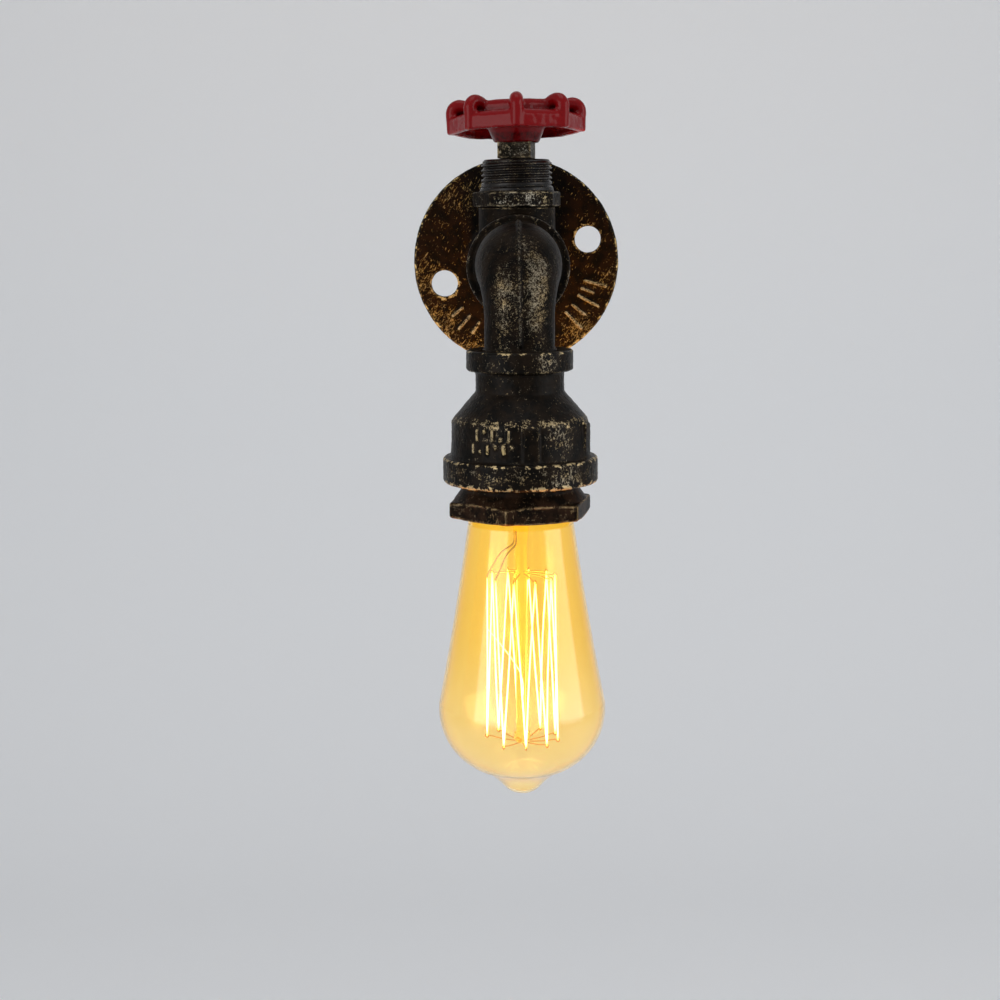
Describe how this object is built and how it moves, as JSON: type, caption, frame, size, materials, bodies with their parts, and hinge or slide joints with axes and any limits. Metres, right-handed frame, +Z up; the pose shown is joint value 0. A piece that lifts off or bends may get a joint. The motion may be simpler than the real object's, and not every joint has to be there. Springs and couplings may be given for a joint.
{
  "type": "wall sconce",
  "caption": "Industrial wall sconce of iron pipe fittings on a round wall flange, with a lobed tap handwheel as its switch and a pear-shaped cage-filament bulb.",
  "frame": {"origin": "centre of the wall flange's back face, which is the centre of its bolt circle", "axes": "+Z up, +Y into the wall, so the lamp stands out from the wall towards -Y; +X to the right of someone who faces the wall"},
  "size_m": [0.0822, 0.1319, 0.2503],
  "materials": {
    "aged_iron": "blackened bronze over rough sand-cast iron, dry-brushed pale gold on edges and high spots, satin",
    "black_pipe": "black oiled pipe, satin",
    "packing_fibre": "greased plaited packing, dull",
    "turned_brass": "turned brass, lightly tarnished",
    "worn_brass": "pale brass, speckled with dark wear",
    "spring_steel": "blued spring steel",
    "red_enamel": "deep red gloss enamel on a casting, worn at the lobes",
    "plated_steel": "zinc-plated steel",
    "black_phenolic": "moulded black phenolic",
    "ivory_phenolic": "moulded ivory phenolic",
    "contact_brass": "rolled brass strip",
    "gasket_rubber": "black rubber sheet",
    "brown_insulation": "brown sleeve",
    "blue_insulation": "blue sleeve",
    "amber_glass": "thin blown glass, amber tinted",
    "black_glass": "black cap glass",
    "solder_tin": "dull solder",
    "clear_glass": "clear drawn glass",
    "glowing_filament": "carbon filament, lit warm amber",
    "support_wire": "fine nickel wire"
  },
  "bodies": {
    "fittings": {"wall_flange": "aged_iron", "rear_nipple": "black_pipe", "tee_body": "aged_iron", "front_nipple": "black_pipe", "street_elbow": "aged_iron", "bell_reducer": "aged_iron", "hex_bushing": "aged_iron", "bonnet": "aged_iron", "gland_packing": "packing_fibre", "gland_ring": "turned_brass", "switch_cover": "black_phenolic", "switch_base": "black_phenolic", "switch_contacts": "contact_brass", "switch_terminals": "contact_brass", "switch_terminal_screws": "plated_steel", "holder_body": "black_phenolic", "holder_gasket": "gasket_rubber", "screw_shell": "turned_brass", "centre_contact": "contact_brass", "holder_terminals": "contact_brass", "holder_terminal_screws": "plated_steel", "supply_wire": "brown_insulation", "switched_wire": "brown_insulation", "neutral_wire": "blue_insulation"},
    "wheel": {"handwheel": "red_enamel", "spindle": "worn_brass", "spindle_clip": "spring_steel", "wheel_washer": "plated_steel", "wheel_screw": "plated_steel", "switch_rotor": "ivory_phenolic", "rotor_bridge": "contact_brass"},
    "bulb": {"bulb_glass": "amber_glass", "bulb_cap": "turned_brass", "cap_insulator": "black_glass", "cap_contact": "solder_tin", "bulb_stem": "clear_glass", "filament": "glowing_filament", "upper_hooks": "support_wire", "lower_hooks": "support_wire", "lead_wires": "support_wire"}
  },
  "joints": [
    {"name": "handwheel_turn", "type": "hinge", "parent": "fittings", "child": "wheel", "pos_m": [0, -0.043, 0], "axis": [0, 0, 1], "range_deg": [-270, 0]},
    {"name": "bulb_unscrew", "type": "slide", "parent": "fittings", "child": "bulb", "axis": [0, 0, -1], "range_m": [0, 0.03]}
  ]
}
